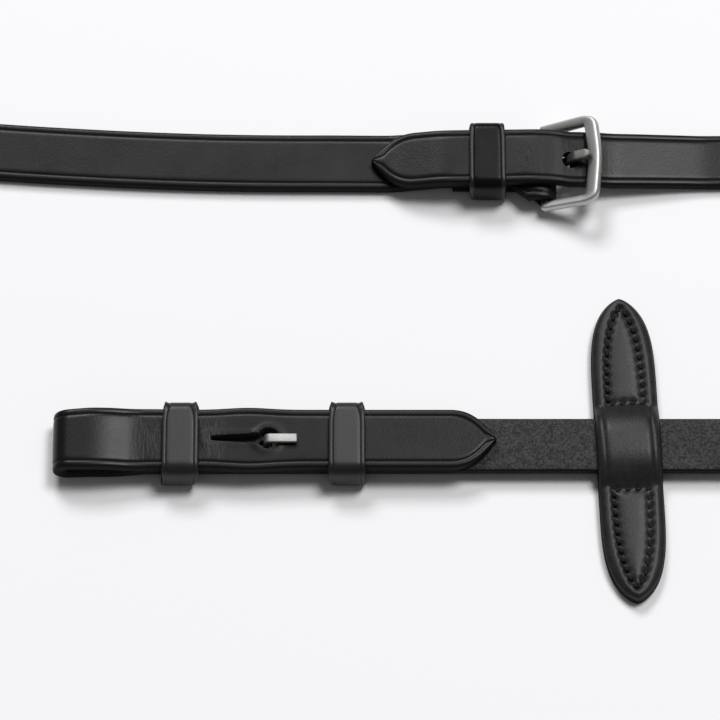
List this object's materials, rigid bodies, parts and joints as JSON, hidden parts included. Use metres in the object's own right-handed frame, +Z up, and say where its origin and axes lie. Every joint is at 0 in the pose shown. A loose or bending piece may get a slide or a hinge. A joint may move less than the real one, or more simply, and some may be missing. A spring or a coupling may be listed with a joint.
{
  "type": "martingale reins",
  "caption": "Pair of black leather riding reins joined by a buckle, with hook-stud bit ends, sliding runners and martingale stops.",
  "frame": {"origin": "on the surface that the reins lie on, under the middle of their bounding box", "axes": "+X along the straps, +Y across them from the bit end with the seen stop towards the buckle, +Z up from the surface"},
  "size_m": [0.8361, 0.2598, 0.016],
  "materials": {
    "grain_leather": "fine grain, satin, dyed black",
    "thread": "waxed black thread",
    "steel": "stainless steel, satin with polished edges"
  },
  "bodies": {
    "reins": {"near_rein": "grain_leather", "far_rein": "grain_leather", "buckle_frame": "steel", "buckle_keeper": "grain_leather", "chape_stitching": "thread", "near_hook_stud": "steel", "near_stud_patch": "grain_leather", "near_patch_stitching": "thread", "far_hook_stud": "steel", "far_stud_patch": "grain_leather", "far_patch_stitching": "thread"},
    "near_bit_runner": {"near_bit_runner": "grain_leather"},
    "near_point_runner": {"near_point_runner": "grain_leather"},
    "near_stop": {"near_stop_base": "grain_leather", "near_stop_top": "grain_leather", "near_stop_stitching": "thread"},
    "far_bit_runner": {"far_bit_runner": "grain_leather"},
    "far_point_runner": {"far_point_runner": "grain_leather"},
    "far_stop": {"far_stop_base": "grain_leather", "far_stop_top": "grain_leather", "far_stop_stitching": "thread"},
    "buckle_tongue": {"buckle_tongue": "steel"}
  },
  "joints": [
    {"name": "near_bit_runner_slide", "type": "slide", "parent": "reins", "child": "near_bit_runner", "axis": [1, 0, 0], "range_m": [-0.002, 0.01]},
    {"name": "near_point_runner_slide", "type": "slide", "parent": "reins", "child": "near_point_runner", "axis": [1, 0, 0], "range_m": [-0.008, 0.051]},
    {"name": "near_stop_slide", "type": "slide", "parent": "reins", "child": "near_stop", "axis": [1, 0, 0], "range_m": [-0.01, 0.05]},
    {"name": "far_bit_runner_slide", "type": "slide", "parent": "reins", "child": "far_bit_runner", "axis": [-1, 0, 0], "range_m": [-0.002, 0.01]},
    {"name": "far_point_runner_slide", "type": "slide", "parent": "reins", "child": "far_point_runner", "axis": [-1, 0, 0], "range_m": [-0.008, 0.051]},
    {"name": "far_stop_slide", "type": "slide", "parent": "reins", "child": "far_stop", "axis": [-1, 0, 0], "range_m": [-0.01, 0.05]},
    {"name": "buckle_tongue_hinge", "type": "hinge", "parent": "reins", "child": "buckle_tongue", "pos_m": [0.08125, 0.0023, 0.0032], "axis": [0, -1, 0], "range_deg": [0, 8]}
  ]
}
